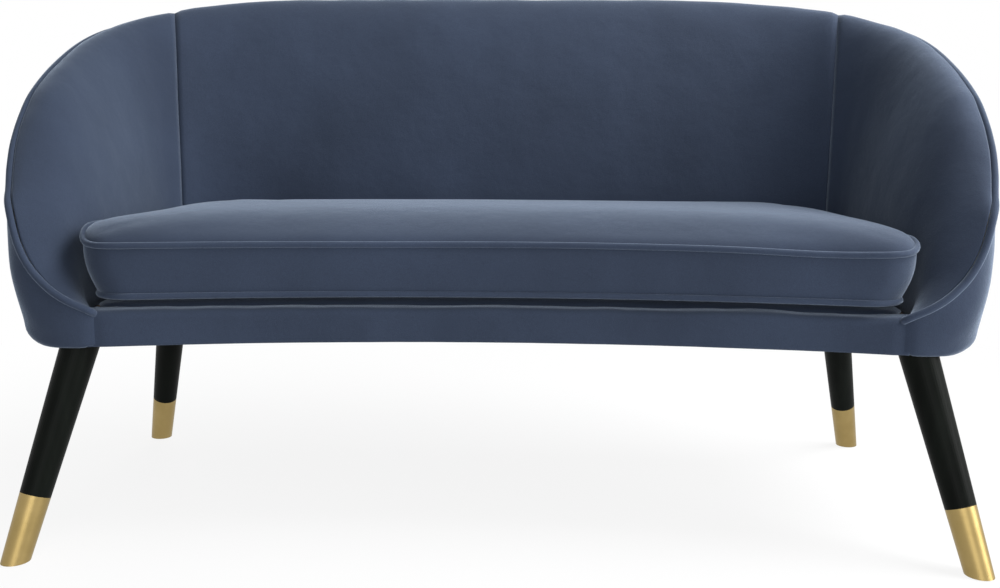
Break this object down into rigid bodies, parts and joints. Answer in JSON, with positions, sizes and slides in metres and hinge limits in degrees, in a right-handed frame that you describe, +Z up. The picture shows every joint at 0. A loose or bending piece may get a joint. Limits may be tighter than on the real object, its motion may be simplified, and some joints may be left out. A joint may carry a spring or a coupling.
{
  "type": "two-seat tub sofa",
  "caption": "Two-seat tub sofa: padded shell that wraps round as back and arms with a piped rim, one loose piped seat cushion, and splayed round wooden legs with metal tips",
  "frame": {"origin": "on the floor at the middle of the footprint's bounding box", "axes": "+X to the right of someone facing the sofa, +Y towards the back, +Z up; the seat faces -Y"},
  "size_m": [1.2258, 0.6168, 0.7068],
  "materials": {
    "velvet": "short-pile slate blue velvet",
    "velvet_piping": "slate blue velvet over cord",
    "black_wood": "satin black lacquer on turned wood",
    "brass_tip": "satin gold-tone metal",
    "frame_wood": "unfinished plywood and softwood",
    "steel": "zinc plated steel",
    "foam": "open-cell polyurethane foam, stated as fabric",
    "deck_felt": "dark felted seat deck",
    "lining": "black non-woven cloth",
    "webbing": "woven elastic webbing",
    "nylon": "black nylon",
    "zip_tape": "closed coil zip on tape"
  },
  "bodies": {
    "shell": {"arm_front_post_left": "frame_wood", "arm_front_post_right": "frame_wood", "arm_padding_left": "foam", "arm_padding_right": "foam", "arm_rear_post_left": "frame_wood", "arm_rear_post_right": "frame_wood", "arm_top_rail_left": "frame_wood", "arm_top_rail_right": "frame_wood", "back_centre_post": "frame_wood", "back_corner_post_left": "frame_wood", "back_corner_post_right": "frame_wood", "back_lumbar_rails": "frame_wood", "back_middle_post_left": "frame_wood", "back_middle_post_right": "frame_wood", "back_padding": "foam", "back_top_rail": "frame_wood", "back_webbing": "webbing", "corner_block_front_left": "frame_wood", "corner_block_front_right": "frame_wood", "corner_block_rear_left": "frame_wood", "corner_block_rear_right": "frame_wood", "cross_rail_left": "frame_wood", "cross_rail_right": "frame_wood", "dust_cover": "lining", "edge_piping": "velvet_piping", "foot_glides": "nylon", "front_rail": "frame_wood", "front_rail_cover": "velvet", "front_rail_padding": "foam", "inner_arm_cover_left": "velvet", "inner_arm_cover_right": "velvet", "inner_back_cover": "velvet", "leg_bolts": "steel", "leg_front_left": "black_wood", "leg_front_right": "black_wood", "leg_plates": "steel", "leg_rear_left": "black_wood", "leg_rear_right": "black_wood", "leg_tip_front_left": "brass_tip", "leg_tip_front_right": "brass_tip", "leg_tip_rear_left": "brass_tip", "leg_tip_rear_right": "brass_tip", "outer_back_cover": "velvet", "outer_side_cover_left": "velvet", "outer_side_cover_right": "velvet", "plate_screws": "steel", "rear_rail": "frame_wood", "seat_deck": "deck_felt", "seat_springs": "steel", "side_rail_left": "frame_wood", "side_rail_right": "frame_wood", "spring_clips": "steel", "spring_cloth": "lining"},
    "seat_cushion": {"cushion_border": "velvet", "cushion_bottom_panel": "velvet", "cushion_bottom_piping": "velvet_piping", "cushion_foam": "foam", "cushion_top_panel": "velvet", "cushion_top_piping": "velvet_piping", "cushion_zip": "zip_tape"}
  },
  "joints": [
    {"name": "cushion_lift", "type": "slide", "parent": "shell", "child": "seat_cushion", "axis": [0, 0, 1], "range_m": [0, 0.35]}
  ]
}
